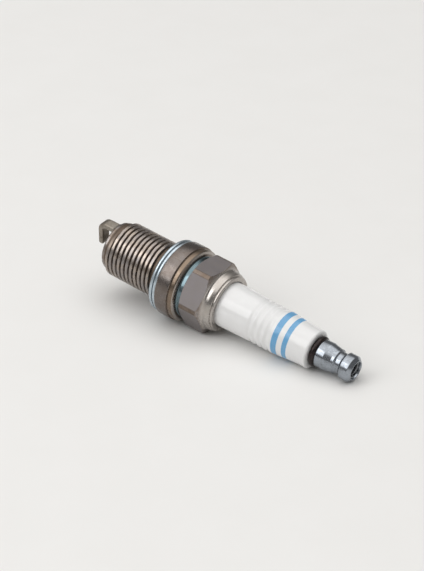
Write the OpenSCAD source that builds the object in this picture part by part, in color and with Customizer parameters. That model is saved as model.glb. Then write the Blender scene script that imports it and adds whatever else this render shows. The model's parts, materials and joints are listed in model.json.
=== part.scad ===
// Spark plug with a 14 mm thread, a flat seat and a captive gasket, lying on its side.
//
// Every piece is built upright on one plug axis: local Z runs from the firing end to the
// terminal, and local Z = 0 is the seat face that clamps the gasket. The module lay()
// then lays the whole plug down on its collar and its ceramic's rounded end, so that it
// rests on the plane Z = 0 with +X along its length. Local +X points up once it lies there.

/* [Threaded end] */
// Reach: from the seat face to the shell's end face
reach = 19; // [16:0.1:24]
// Major diameter of the shell thread
thread_d = 14; // [13.5:0.1:14.5]
// Pitch of the shell thread
thread_pitch = 1.25; // [1:0.05:1.5]
// Radial depth of the shell thread
thread_depth = 0.767; // [0.6:0.001:0.8]
// Diameter of the plain lead band at the firing end
lead_d = 12.2; // [11.8:0.1:12.4]
// Length of the plain lead band
lead_h = 1.1; // [0.6:0.1:2]
// Diameter of the relief that holds the gasket
relief_d = 12.2; // [11.8:0.1:12.6]

/* [Collar, groove and hexagon] */
// Diameter of the collar over the gasket
collar_d = 18.8; // [17.8:0.1:23]
// Length of the collar
collar_h = 3.5; // [2.5:0.1:5]
// Diameter of the step between the collar and the groove
step_d = 18.2; // [16:0.1:18.2]
// Length of that step
step_h = 1.6; // [0.6:0.1:2]
// Diameter of the heat-shrink groove
groove_d = 15.2; // [14.8:0.1:15.6]
// Length of the heat-shrink groove
groove_h = 1.2; // [0.8:0.1:2]
// Hexagon, across the flats
hex_af = 16; // [15.6:0.1:17.4]
// Length of the hexagon
hex_h = 6.1; // [5:0.1:10]
// Angle of the chamfer on the hexagon's corners, from the end face
hex_chamfer_angle = 30; // [20:1:40]
// Diameter of the crimp's round shoulder
crimp_d = 15; // [14.4:0.1:15.2]
// Length of the crimp's round shoulder
crimp_h = 2; // [1.2:0.1:2.5]
// Height of the rolled lip above the shoulder
lip_h = 0.7; // [0.6:0.1:1.1]
// Radial clearance between the rolled lip and the insulator
lip_gap = 0.15; // [0.05:0.01:0.3]
// Depth of the fine groove between the shoulder and the lip
crimp_groove = 0.45; // [0.1:0.05:0.5]
// Length of that groove
crimp_groove_h = 0.2; // [0.1:0.05:0.3]

/* [Shell bore] */
// Diameter of the open bore around the insulator nose
mouth_bore_d = 9.4; // [9:0.1:9.8]
// Diameter of the ledge that carries the insulator
ledge_bore_d = 7.8; // [7.6:0.1:8.4]
// Diameter of the bore above the ledge
mid_bore_d = 10.6; // [10.4:0.1:10.8]
// Diameter of the bore inside the hexagon
hex_bore_d = 13.4; // [13.2:0.1:13.6]
// Depth of the ledge below the seat face
ledge_depth = 8.4; // [7:0.1:10]
// Length of the ledge's narrow bore
ledge_h = 1.2; // [0.8:0.1:2]

/* [Gasket] */
// Outer diameter of the folded gasket
gasket_d = 18.2; // [17:0.1:21.8]
// Inner diameter of the folded gasket, which the thread crests hold captive
gasket_bore_d = 13.5; // [13:0.1:13.6]
// Thickness of the uncrushed gasket
gasket_h = 1.9; // [1.5:0.1:2.3]
// Travel of the loose gasket along the relief
gasket_play = 0.8; // [0.4:0.1:1.2]
// Depth of the fold line round the gasket's edge
gasket_fold = 0.35; // [0.1:0.05:0.6]

/* [Insulator] */
// Diameter of the ceramic where it leaves the crimp
rear_d = 11.2; // [10.8:0.1:11.4]
// Diameter of the ceramic at the ribs
rib_d = 10.7; // [10:0.1:11]
// Number of shallow ribs
rib_count = 4; // [2:1:5]
// Distance from rib to rib
rib_pitch = 1.65; // [1.2:0.05:1.9]
// Depth of the valleys between the ribs
rib_depth = 0.12; // [0.05:0.01:0.25]
// Distance from the terminal end of the ceramic back to the last rib
rib_back = 9.6; // [8.6:0.1:12]
// Diameter of the ceramic near its terminal end
end_d = 9.5; // [9:0.1:10]
// Radius of the rounded terminal end of the ceramic
end_round = 1; // [0.6:0.1:1.4]
// Length of the straight stretch before that rounding
end_land = 1.6; // [0.8:0.1:3]
// Length of the straight stretch of ceramic outside the crimp
rear_land = 1; // [0.5:0.1:3]
// Diameter of the ceramic inside the threaded end
mid_d = 10.2; // [9.8:0.1:10.3]
// Diameter of the thick part of the ceramic, which the crimp holds down
shoulder_d = 13.2; // [12.8:0.1:13.2]
// Height of the top of that thick part above the seat face
shoulder_top = 8; // [7:0.1:8.5]
// Diameter of the ceramic nose at its root
nose_root_d = 7.2; // [6.4:0.1:7.4]
// Length of the short taper between the nose's root and the seat
nose_step = 1; // [0.6:0.1:2]
// Diameter of the ceramic nose at its tip
nose_tip_d = 4.6; // [4:0.1:5.4]
// How far the nose stands out of the shell's end face
nose_out = 1.3; // [0:0.1:2]
// Diameter of the bore for the terminal stud, the resistor and the glass seals
stud_bore_d = 4; // [3.8:0.1:4.4]

/* [Electrodes] */
// Diameter of the centre electrode
electrode_d = 2.5; // [2.2:0.1:2.9]
// How far the centre electrode stands out of the ceramic nose
electrode_out = 1.5; // [0.6:0.1:1.8]
// Spark gap
spark_gap = 0.8; // [0.5:0.05:1.1]
// Diameter of the copper core
core_d = 1.5; // [1.2:0.1:1.7]
// Diameter of the electrode's head
head_d = 3.5; // [3.2:0.1:3.6]
// Height of the electrode's head
head_h = 1.2; // [0.8:0.1:1.6]
// Height of the underside of the head above the shell's ledge
head_above_ledge = 2.4; // [1.8:0.1:3]
// Solid nickel left below the copper core
core_floor = 1.6; // [1:0.1:3]
// Width of the ground electrode's strap
strap_w = 2.6; // [2.2:0.1:3.4]
// Thickness of the strap
strap_t = 1.4; // [1.1:0.1:1.4]
// Inner radius of the strap's bend
strap_bend_r = 0.9; // [0.5:0.1:1.2]
// How far the strap reaches past the plug's axis
strap_past_axis = 0.8; // [0.6:0.1:2]
// Angle of the strap round the plug from straight up
strap_angle = 8; // [-90:1:90]

/* [Terminal] */
// Height of the terminal's end face above the seat face
terminal_top = 50.5; // [46:0.1:62]
// Diameter of the terminal nut's head, which the plug cap grips
cap_d = 6.35; // [5.8:0.05:7]
// Length of the head, with its chamfer
cap_h = 2.7; // [2.2:0.1:3.5]
// Chamfer of the head at the end face
cap_chamfer = 0.55; // [0.3:0.05:0.8]
// Diameter of the nut's neck
neck_d = 5.3; // [5:0.1:5.6]
// Length of the neck
neck_h = 1.2; // [0.8:0.1:2]
// Diameter of the nut's base
base_d = 6.7; // [6.2:0.1:7.4]
// Length of the nut's cylindrical base
base_h = 2; // [1.2:0.1:3]
// Diameter of the small shoulder between the base and the neck
brow_d = 5.9; // [5.7:0.1:6.1]
// Length of that shoulder
brow_h = 0.7; // [0.4:0.1:1.2]
// Major diameter of the stud's thread
stud_thread_d = 4; // [3.8:0.1:4]
// Pitch of the stud's thread
stud_pitch = 0.7; // [0.5:0.05:0.8]
// Radial clearance of the nut on the stud's thread
nut_clearance = 0.05; // [0.02:0.01:0.1]
// How far the stud's end stays below the nut's end face
stud_recess = 1.5; // [0.8:0.1:2.5]
// Length of the whole nut
nut_h = 9.25; // [8.8:0.05:10.5]
// Diameter of the stud's dark flange
flange_d = 7.5; // [6.8:0.1:8]
// Thickness of the flange
flange_h = 1.5; // [1.1:0.1:1.8]
// Diameter of the stud's plain shaft
shaft_d = 3.5; // [3.2:0.1:3.7]

/* [Inner stack] */
// Diameter of the wire of both packing rings
wire_d = 1; // [0.8:0.05:1]
// Height of each packed glass seal
seal_h = 2.8; // [2:0.1:3.5]
// Length of the resistor
resistor_h = 8; // [6:0.1:10]
// Depth of the stud's grooved end in the upper glass seal
stud_sink = 1.6; // [1:0.1:2]
// Thickness of the packing washer on the ledge
washer_t = 0.3; // [0.2:0.05:0.4]

/* [Hidden] */
$fn = 96;

fit_gap = 0.02;       // pieces that are assembled for good, and touch on the real plug
loose_gap = 0.05;     // pieces that move against each other, at their seats
edge = 0.25;          // small edge break on turned parts
past = 1;             // how far a cutting body runs past the face that it opens
arc_steps = 8;        // points on a turned rounding

// Stations along the plug axis, from the firing end to the terminal
end_z = -reach;
relief_h = gasket_h + gasket_play + 2 * loose_gap;
ledge_z = -ledge_depth;
step_z = collar_h;
groove_z = step_z + step_h;
hex_z = groove_z + groove_h;
crimp_z = hex_z + hex_h;
lip_z = crimp_z + crimp_h;
shell_top = lip_z + lip_h;
nut_z = terminal_top - nut_h;
flange_z = nut_z - loose_gap - flange_h;
ceramic_top = flange_z - fit_gap;
nose_z = end_z - nose_out;
tip_z = nose_z - electrode_out;
strap_in_z = tip_z - spark_gap;
strap_out_z = strap_in_z - strap_t;
rib_end_z = ceramic_top - rib_back;
rib_z = rib_end_z - rib_count * rib_pitch;

// The conical seat between the ceramic, the washer and the shell's ledge
seat_angle = 30;
seat_rise = (mid_bore_d - ledge_bore_d) / 2 * tan(seat_angle);
washer_rise = washer_t / cos(seat_angle) + 2 * fit_gap;

// Inner stack
head_z = ledge_z + head_above_ledge;
seal_low_z = head_z + head_h + fit_gap;
resistor_z = seal_low_z + seal_h + fit_gap;
seal_up_z = resistor_z + resistor_h + fit_gap;
stud_z = seal_up_z + seal_h - stud_sink;
fit_bore_d = stud_bore_d - 2 * fit_gap;
wire_r = (hex_bore_d + rear_d) / 4;
low_wire_z = shoulder_top + fit_gap + wire_d / 2;
up_wire_z = lip_z - fit_gap - wire_d / 2;

// How the plug lies: it touches the floor at the collar's edge, and at the ceramic's
// rounded end or the nut's head, whichever of the two comes down first
collar_touch_z = collar_h - edge;
to_round = [(collar_d - end_d) / 2 + end_round, ceramic_top - end_round - collar_touch_z];
ceramic_tilt = acos(end_round / norm(to_round)) - atan(to_round[1] / to_round[0]);
cap_tilt = atan((collar_d - cap_d) / 2 / (terminal_top - cap_chamfer - collar_touch_z));
tilt = min(ceramic_tilt, cap_tilt);
lift = collar_d / 2 * cos(tilt) + collar_touch_z * sin(tilt);
x_low = strap_out_z * cos(tilt) - strap_past_axis * sin(tilt);
x_high = terminal_top * cos(tilt) + (cap_d / 2 - cap_chamfer) * sin(tilt);
shift = -(x_low + x_high) / 2;

// Lays an upright piece down in the frame of the whole plug
module lay() {
    translate([shift, 0, lift]) rotate([0, 90 + tilt, 0]) rotate([0, 0, 180]) children();
}

// Turns an outline of [radius, height] points about the plug axis
module turned(outline) {
    rotate_extrude() polygon(outline);
}

// Ring of a rectangular section, between two diameters
module ring(outer_d, inner_d, z, h) {
    difference() {
        translate([0, 0, z]) cylinder(d = outer_d, h = h);
        translate([0, 0, z - past]) cylinder(d = inner_d, h = h + 2 * past);
    }
}

// Crests of a thread as turned ridges: [radius, height] points from z_low upwards.
// The flanks stand at 60 degrees to each other and the crest is an eighth of the pitch.
function crests(z_low, turns, pitch, major_r, depth) = [
    for (i = [0 : turns - 1], p = [[0, 0], [1, 0], [1, 1], [0, 1]])
        let (flank = depth * tan(30), flat = pitch / 8)
        let (base = z_low + i * pitch + pitch / 2 - flat / 2 - flank)
        [major_r - depth + p[0] * depth,
         base + p[0] * flank + p[1] * (flat + 2 * (1 - p[0]) * flank)
             ]
];

// Points on a quarter arc about (r, z), from angle a0 to a1
function arc(r, z, radius, a0, a1) = [
    for (i = [0 : arc_steps])
        let (a = a0 + (a1 - a0) * i / arc_steps)
        [r + radius * cos(a), z + radius * sin(a)]
];

// Outline of the threaded end, from the plug axis outwards and up to the seat face
thread_turns = floor((reach - lead_h - relief_h) / thread_pitch);
thread_r = thread_d / 2;
thread_low_z = -relief_h - thread_turns * thread_pitch;

module threaded_end() {
    root_r = thread_r - thread_depth;
    turned(concat(
        [[0, end_z], [lead_d / 2 - edge, end_z], [lead_d / 2, end_z + edge],
         [lead_d / 2, thread_low_z - edge / 2], [root_r, thread_low_z]],
        crests(thread_low_z, thread_turns, thread_pitch, thread_r, thread_depth),
        [[root_r, -relief_h], [relief_d / 2, -relief_h + edge / 2], [relief_d / 2, past / 2],
         [0, past / 2]]
    ));
}

// Collar with broken edges, step and heat-shrink groove
module collar_and_groove() {
    turned([
        [0, 0], [collar_d / 2 - edge, 0], [collar_d / 2, edge],
        [collar_d / 2, collar_h - edge], [collar_d / 2 - edge, collar_h],
        [step_d / 2, collar_h], [step_d / 2, groove_z - edge], [step_d / 2 - edge, groove_z],
        [groove_d / 2, groove_z], [groove_d / 2, hex_z + past / 2], [0, hex_z + past / 2]
    ]);
}

// Hexagon with its corners chamfered at both ends; a flat faces straight up
module hexagon() {
    corner_r = hex_af / 2 / cos(30);
    flat_r = hex_af / 2 - edge;
    drop = (corner_r - flat_r) * tan(hex_chamfer_angle);
    intersection() {
        rotate([0, 0, 30])
            translate([0, 0, hex_z])
                cylinder(r = corner_r, h = hex_h, $fn = 6);
        turned([
            [0, hex_z], [flat_r, hex_z], [corner_r + edge, hex_z + drop],
            [corner_r + edge, crimp_z - drop], [flat_r, crimp_z], [0, crimp_z]
        ]);
    }
}

// Round shoulder, fine groove and lip rolled over onto the packing
module crimp() {
    shoulder_r = crimp_d / 2;
    lip_r = shoulder_r - edge;
    round_r = lip_h - crimp_groove_h;
    turned(concat(
        [[0, crimp_z - past / 2], [shoulder_r, crimp_z - past / 2], [shoulder_r, lip_z - edge],
         [lip_r, lip_z], [lip_r - crimp_groove, lip_z],
         [lip_r - crimp_groove, lip_z + crimp_groove_h]],
        arc(lip_r - round_r, shell_top - round_r, round_r, 0, 90),
        [[0, shell_top]]
    ));
}

// Everything that is bored out of the shell
module shell_bore() {
    lip_bore_r = rear_d / 2 + lip_gap;
    mid_r = mid_bore_d / 2;
    ledge_r = ledge_bore_d / 2;
    hex_r = hex_bore_d / 2;
    mouth_r = mouth_bore_d / 2;
    under_z = ledge_z - ledge_h;
    turned([
        [0, end_z - past], [mouth_r, end_z - past],
        [mouth_r, under_z - (mouth_r - ledge_r)], [ledge_r, under_z],
        [ledge_r, ledge_z], [mid_r, ledge_z + seat_rise],
        [mid_r, 0], [hex_r, hex_r - mid_r],
        [hex_r, lip_z], [lip_bore_r, lip_z],
        [lip_bore_r, shell_top + past], [0, shell_top + past]
    ]);
}

module metal_shell() {
    color([0.50, 0.47, 0.45]) lay() difference() {
        union() {
            threaded_end();
            collar_and_groove();
            hexagon();
            crimp();
        }
        shell_bore();
    }
}

// Folded ring with a fold line round its outer edge and flat lands on both faces
module gasket() {
    low = -loose_gap - gasket_h;
    high = -loose_gap;
    middle = (low + high) / 2;
    outer = gasket_d / 2;
    inner = gasket_bore_d / 2;
    break = gasket_h / 5;
    color([0.72, 0.77, 0.82]) lay() turned([
        [inner, low + break], [inner + break, low], [outer - break, low],
        [outer, low + break], [outer, middle - gasket_fold / 2],
        [outer - gasket_fold, middle], [outer, middle + gasket_fold / 2],
        [outer, high - break], [outer - break, high], [inner + break, high],
        [inner, high - break]
    ]);
}

// Strap welded to the shell's end face and bent over the centre electrode.
// Its side view is drawn as [distance from the axis, height] and given its width.
module ground_electrode() {
    outer_x = lead_d / 2 - edge;
    inner_x = outer_x - strap_t;
    bend_x = inner_x - strap_bend_r;
    bend_z = strap_in_z + strap_bend_r;
    color([0.58, 0.55, 0.52]) lay() rotate([0, 0, strap_angle])
        rotate([90, 0, 0]) linear_extrude(strap_w, center = true) {
            translate([inner_x, bend_z]) square([strap_t, end_z - bend_z]);
            translate([-strap_past_axis, strap_out_z])
                square([bend_x + strap_past_axis, strap_t]);
            intersection() {
                difference() {
                    translate([bend_x, bend_z]) circle(r = strap_bend_r + strap_t);
                    translate([bend_x, bend_z]) circle(r = strap_bend_r);
                }
                translate([bend_x, strap_out_z]) square(strap_bend_r + strap_t);
            }
        }
}

// Radius of the ceramic over the ribs, a smooth wave between crests and valleys
function rib_r(z) = rib_d / 2 - rib_depth * (1 - cos((z - rib_z) / rib_pitch * 360)) / 2;

module insulator() {
    rear_r = rear_d / 2;
    end_r = end_d / 2;
    mid_r = mid_d / 2;
    shoulder_r = shoulder_d / 2;
    seat_r = ledge_bore_d / 2;
    seat_z = ledge_z + washer_rise;
    taper_z = seat_z + (mid_r - seat_r) * tan(seat_angle);
    rib_steps = rib_count * arc_steps;
    bore_r = stud_bore_d / 2;
    shank_r = electrode_d / 2 + fit_gap;
    head_cone_z = head_z - (bore_r - shank_r);
    color([0.95, 0.95, 0.93]) lay() difference() {
        turned(concat(
            [[0, nose_z], [nose_tip_d / 2 - edge, nose_z], [nose_tip_d / 2, nose_z + edge],
             [nose_root_d / 2, seat_z - nose_step], [seat_r, seat_z], [mid_r, taper_z],
             [mid_r, 0], [shoulder_r, shoulder_r - mid_r], [shoulder_r, shoulder_top - edge],
             [shoulder_r - edge, shoulder_top], [rear_r, shoulder_top], [rear_r, shell_top + rear_land]],
            [for (i = [0 : rib_steps])
                let (z = rib_z + i / rib_steps * (rib_end_z - rib_z)) [rib_r(z), z]],
            [[end_r, ceramic_top - end_round - end_land]],
            arc(end_r - end_round, ceramic_top - end_round, end_round, 0, 90),
            [[0, ceramic_top]]
        ));
        turned([
            [0, nose_z - past], [shank_r, nose_z - past], [shank_r, head_cone_z],
            [bore_r, head_z], [bore_r, ceramic_top + past], [0, ceramic_top + past]
        ]);
    }
}

// Conical washer between the shell's ledge and the ceramic's seat
module packing_washer() {
    inner_r = ledge_bore_d / 2 + fit_gap;
    outer_r = mid_d / 2;
    low_z = ledge_z + fit_gap + (inner_r - ledge_bore_d / 2) * tan(seat_angle);
    rise = (outer_r - inner_r) * tan(seat_angle);
    thick = washer_rise - 2 * fit_gap;
    color([0.70, 0.70, 0.70]) lay() turned([
        [inner_r, low_z], [outer_r, low_z + rise],
        [outer_r, low_z + rise + thick], [inner_r, low_z + thick]
    ]);
}

module wire_ring(z) {
    translate([0, 0, z]) rotate_extrude() translate([wire_r, 0]) circle(d = wire_d, $fn = 32);
}

module lower_wire_ring() {
    color([0.55, 0.55, 0.56]) lay() wire_ring(low_wire_z);
}

module upper_wire_ring() {
    color([0.55, 0.55, 0.56]) lay() wire_ring(up_wire_z);
}

module talc_packing() {
    low = low_wire_z + wire_d / 2 + fit_gap;
    high = up_wire_z - wire_d / 2 - fit_gap;
    color([0.86, 0.86, 0.82]) lay()
        ring(hex_bore_d - 2 * fit_gap, rear_d + 2 * fit_gap, low, high - low);
}

// Nickel sheath with a conical head that hangs in the ceramic's bore
module center_electrode() {
    shank_r = electrode_d / 2;
    head_r = head_d / 2;
    color([0.60, 0.58, 0.56]) lay() difference() {
        turned([
            [0, tip_z], [shank_r, tip_z], [shank_r, head_z - (head_r - shank_r)],
            [head_r, head_z], [head_r, head_z + head_h], [0, head_z + head_h]
        ]);
        translate([0, 0, tip_z + core_floor])
            cylinder(d = core_d + 2 * fit_gap, h = head_z + head_h + past - tip_z - core_floor);
    }
}

module center_electrode_core() {
    low = tip_z + core_floor + fit_gap;
    color([0.80, 0.47, 0.32]) lay()
        translate([0, 0, low]) cylinder(d = core_d, h = head_z + head_h - low);
}

module lower_glass_seal() {
    color([0.30, 0.31, 0.34]) lay()
        translate([0, 0, seal_low_z]) cylinder(d = fit_bore_d, h = seal_h);
}

module resistor() {
    color([0.22, 0.20, 0.19]) lay()
        translate([0, 0, resistor_z]) cylinder(d = fit_bore_d, h = resistor_h);
}

// The glass flows up round the stud's grooved end, so it is cupped
module upper_glass_seal() {
    color([0.30, 0.31, 0.34]) lay() difference() {
        translate([0, 0, seal_up_z]) cylinder(d = fit_bore_d, h = seal_h);
        translate([0, 0, stud_z - fit_gap]) cylinder(d = shaft_d + 2 * fit_gap, h = stud_sink + past);
    }
}

// Terminal stud: grooved end in the glass, shaft, rounded flange and threaded end
module terminal_stud() {
    shaft_r = shaft_d / 2;
    thread_depth_r = stud_pitch * 0.6134;
    major_r = stud_thread_d / 2;
    minor_r = major_r - thread_depth_r;
    round_r = flange_h / 2;
    flange_r = flange_d / 2;
    groove = stud_sink / 4;
    stud_end = terminal_top - stud_recess;
    thread_z = flange_z + flange_h + edge;
    turns = floor((stud_end - thread_z - edge) / stud_pitch);
    color([0.42, 0.38, 0.37]) lay() turned(concat(
        [[0, stud_z], [shaft_r, stud_z], [shaft_r, stud_z + groove],
         [shaft_r - edge, stud_z + 1.5 * groove], [shaft_r - edge, stud_z + 2.5 * groove],
         [shaft_r, stud_z + 3 * groove], [shaft_r, flange_z]],
        arc(flange_r - round_r, flange_z + round_r, round_r, -90, 90),
        [[minor_r, flange_z + flange_h], [minor_r, thread_z]],
        crests(thread_z, turns, stud_pitch, major_r, thread_depth_r),
        [[minor_r, thread_z + turns * stud_pitch], [minor_r, stud_end - edge],
         [minor_r - edge, stud_end], [0, stud_end]]
    ));
}

// Terminal nut: base, taper, small shoulder, neck and the head that the plug cap grips
module terminal_nut() {
    base_r = base_d / 2;
    brow_r = brow_d / 2;
    neck_r = neck_d / 2;
    cap_r = cap_d / 2;
    cap_z = terminal_top - cap_h;
    neck_z = cap_z - (cap_r - neck_r) - neck_h;
    brow_z = neck_z - (brow_r - neck_r) - brow_h;
    bore_r = stud_thread_d / 2 + nut_clearance;
    color([0.66, 0.70, 0.74]) lay() difference() {
        turned([
            [0, nut_z], [base_r - edge / 2, nut_z], [base_r, nut_z + edge / 2],
            [base_r, nut_z + base_h], [brow_r, brow_z], [brow_r, neck_z - (brow_r - neck_r)],
            [neck_r, neck_z], [neck_r, neck_z + neck_h], [cap_r, cap_z],
            [cap_r, terminal_top - cap_chamfer], [cap_r - cap_chamfer, terminal_top],
            [0, terminal_top]
        ]);
        translate([0, 0, nut_z - past]) cylinder(r = bore_r, h = nut_h + 2 * past);
    }
}

metal_shell();
gasket();
ground_electrode();
insulator();
packing_washer();
lower_wire_ring();
talc_packing();
upper_wire_ring();
center_electrode();
center_electrode_core();
lower_glass_seal();
resistor();
upper_glass_seal();
terminal_stud();
terminal_nut();
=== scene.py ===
"""Spark plug lying on its side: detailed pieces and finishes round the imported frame.

Every turned piece is worked out round one plug axis. A station is a distance along that
axis in millimetres, counted from the seat face and growing towards the terminal, and an
angle is counted from straight up towards the viewer's side. Meshes are in metres.
"""

from __future__ import annotations

import json
import logging
import math
from dataclasses import dataclass, field
from enum import Enum
from typing import Callable, Iterable, Sequence

import bpy
import numpy as np
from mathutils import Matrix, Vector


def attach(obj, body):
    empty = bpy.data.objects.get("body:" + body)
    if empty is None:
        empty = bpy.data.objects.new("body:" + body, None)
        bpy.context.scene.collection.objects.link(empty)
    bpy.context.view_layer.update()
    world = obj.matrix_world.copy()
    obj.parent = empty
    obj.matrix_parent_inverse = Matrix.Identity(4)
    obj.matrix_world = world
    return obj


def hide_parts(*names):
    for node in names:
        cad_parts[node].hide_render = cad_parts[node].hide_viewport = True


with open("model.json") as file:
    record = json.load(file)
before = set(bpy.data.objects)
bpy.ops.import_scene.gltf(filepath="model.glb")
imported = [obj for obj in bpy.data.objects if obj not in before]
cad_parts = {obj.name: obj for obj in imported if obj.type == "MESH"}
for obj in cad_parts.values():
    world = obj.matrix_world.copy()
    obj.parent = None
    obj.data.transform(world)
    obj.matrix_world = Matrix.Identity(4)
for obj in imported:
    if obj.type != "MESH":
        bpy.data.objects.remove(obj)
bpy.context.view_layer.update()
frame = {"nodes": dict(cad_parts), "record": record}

LOG = logging.getLogger("spark_plug")
MM = 0.001
TAU = 2.0 * math.pi
Array = np.ndarray
Colour = tuple[float, float, float]


class Body(Enum):
    """The rigid bodies of the plug."""

    PLUG = "plug"
    GASKET = "gasket_ring"
    NUT = "nut"


class Slot(Enum):
    """The record's material slots."""

    SHELL = "shell_nickel"
    GASKET = "gasket_zinc"
    ELECTRODE = "electrode_nickel"
    CERAMIC = "ceramic"
    STUD = "stud_steel"
    NUT = "nut_zinc"


# ---------------------------------------------------------------- plug axis and meshes


@dataclass(frozen=True)
class PlugAxis:
    """The line that every turned piece is built round.

    Attributes:
        seat: Point on the axis in the plane of the seat face, in metres.
        along: Unit vector towards the terminal.
        up: Unit vector square to the axis, as near straight up as it goes.
        side: Unit vector towards the viewer's side.
    """

    seat: Array
    along: Array
    up: Array
    side: Array

    @classmethod
    def from_record(cls, record: dict, gasket_face_station: float) -> "PlugAxis":
        """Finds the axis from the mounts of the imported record.

        Args:
            record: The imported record.
            gasket_face_station: Station of the gasket's outer face, in millimetres.

        Returns:
            The axis, with its zero in the seat face.
        """
        mounts = {m["name"]: m for m in record["mounts"]}
        head = np.array(mounts["terminal_head"]["pos_m"])
        along = np.array(mounts["terminal_head"]["axis"])
        face = np.array(mounts["gasket_face"]["pos_m"])
        on_axis = head + along * np.dot(face - head, along)
        up = np.array([-along[2], 0.0, along[0]])
        return cls(on_axis - along * gasket_face_station * MM, along, up, np.cross(along, up))

    def place(self, radius: Array, angle: Array, station: Array) -> Array:
        """Turns cylinder coordinates into points of the frame.

        Point = seat + along * station + radius * (cos(angle) * up + sin(angle) * side).

        Args:
            radius: Distances from the axis, in millimetres.
            angle: Angles from straight up, in radians.
            station: Stations, in millimetres.

        Returns:
            Points in metres, in an array with one more dimension of length 3.
        """
        radius, angle, station = np.broadcast_arrays(radius, angle, station)
        out = (radius * np.cos(angle))[..., None] * self.up
        out = out + (radius * np.sin(angle))[..., None] * self.side
        out = out + station[..., None] * self.along
        return self.seat + out * MM


def new_object(name: str, points: Array, faces: list[Array]) -> bpy.types.Object:
    """Makes a closed mesh object with its faces outward.

    The signed volume, the sum of a . (b x c) / 6 over all triangles, tells whether the
    faces point outward; if it is negative they are all turned round.

    Args:
        name: Name of the piece.
        points: Corner points, one row each, in metres.
        faces: Arrays of triangles or quads, as rows of point numbers.

    Returns:
        The new object, linked to the scene.
    """
    volume = 0.0
    for block in faces:
        first = points[block[:, 0]]
        for k in range(1, block.shape[1] - 1):
            cross = np.cross(points[block[:, k]], points[block[:, k + 1]])
            volume += float(np.sum(first * cross))
    if volume < 0:
        faces = [block[:, ::-1] for block in faces]
    mesh = bpy.data.meshes.new(name)
    sizes = np.concatenate([np.full(len(block), block.shape[1]) for block in faces])
    loops = np.concatenate([block.reshape(-1) for block in faces]).astype(np.int32)
    starts = np.concatenate([[0], np.cumsum(sizes)[:-1]]).astype(np.int32)
    mesh.vertices.add(len(points))
    mesh.vertices.foreach_set("co", points.astype(np.float32).reshape(-1))
    mesh.loops.add(len(loops))
    mesh.loops.foreach_set("vertex_index", loops)
    mesh.polygons.add(len(sizes))
    mesh.polygons.foreach_set("loop_start", starts)
    mesh.update(calc_edges=True)
    mesh.validate()
    made = bpy.data.objects.new(name, mesh)
    bpy.context.scene.collection.objects.link(made)
    return made


def shade(piece: bpy.types.Object, crease: float = 32.0) -> bpy.types.Object:
    """Shades a piece smooth, with edges sharper than crease degrees kept crisp."""
    piece.data.shade_smooth()
    piece.data.set_sharp_from_angle(angle=math.radians(crease))
    return piece


def grid_faces(rows: int, columns: int, loop_rows: bool, loop_columns: bool) -> Array:
    """Quads over a grid of points numbered row by row.

    Args:
        rows: Number of rows.
        columns: Number of columns.
        loop_rows: Whether the last row joins the first.
        loop_columns: Whether the last column joins the first.

    Returns:
        Point numbers, four to a row.
    """
    r = np.arange(rows if loop_rows else rows - 1)
    c = np.arange(columns if loop_columns else columns - 1)
    low, left = np.meshgrid(r, c, indexing="ij")
    high, right = (low + 1) % rows, (left + 1) % columns
    quads = [low * columns + left, low * columns + right, high * columns + right, high * columns + left]
    return np.stack(quads, -1).reshape(-1, 4)


def fan_faces(pole: int, ring: Array) -> Array:
    """Triangles between a pole and a closed ring of points."""
    return np.stack([np.full(len(ring), pole), ring, np.roll(ring, -1)], -1)


@dataclass
class Turned:
    """A body of revolution whose rows may bend with the angle.

    Attributes:
        axis: The plug axis.
        sectors: Number of columns round the axis.
        radii: One row of radii after another, each a number or an array over the angles.
        stations: The stations of the same rows.
    """

    axis: PlugAxis
    sectors: int
    radii: list[Array] = field(default_factory=list)
    stations: list[Array] = field(default_factory=list)

    @property
    def angles(self) -> Array:
        """Angles of the columns, in radians."""
        return np.arange(self.sectors) / self.sectors * TAU

    def row(self, radius: float | Array, station: float | Array) -> None:
        """Adds one row of points."""
        self.radii.append(np.broadcast_to(radius, (self.sectors,)).astype(float))
        self.stations.append(np.broadcast_to(station, (self.sectors,)).astype(float))

    def path(self, points: Iterable[Sequence[float]]) -> None:
        """Adds a row for each (radius, station) point."""
        for radius, station in points:
            self.row(radius, station)

    def height_field(self, stations: Array, shape: Callable[[Array, Array], Array]) -> None:
        """Adds rows at many stations, with radius = shape(angle, station)."""
        angle, station = np.meshgrid(self.angles, stations, indexing="xy")
        self.radii.extend(shape(angle, station))
        self.stations.extend(station)

    def finish(self, name: str, poles: tuple[bool, bool] = (False, False)) -> bpy.types.Object:
        """Makes the mesh.

        Args:
            name: Name of the piece.
            poles: Whether the first and the last row close on the axis. With neither,
                the last row joins the first.

        Returns:
            The piece.
        """
        radius, station = np.array(self.radii), np.array(self.stations)
        points = self.axis.place(radius, self.angles[None, :], station).reshape(-1, 3)
        rows, columns = radius.shape
        ring = not (poles[0] or poles[1])
        faces = [grid_faces(rows, columns, ring, True)]
        for at_end, is_pole in enumerate(poles):
            if not is_pole:
                continue
            edge = np.arange(columns) + (rows - 1) * columns * at_end
            pole = self.axis.place(np.zeros(1), np.zeros(1), station[-at_end, :1])
            fan = fan_faces(len(points), edge)
            faces.append(fan if at_end else fan[:, ::-1])
            points = np.concatenate([points, pole])
        return shade(new_object(name, points, faces))


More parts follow.
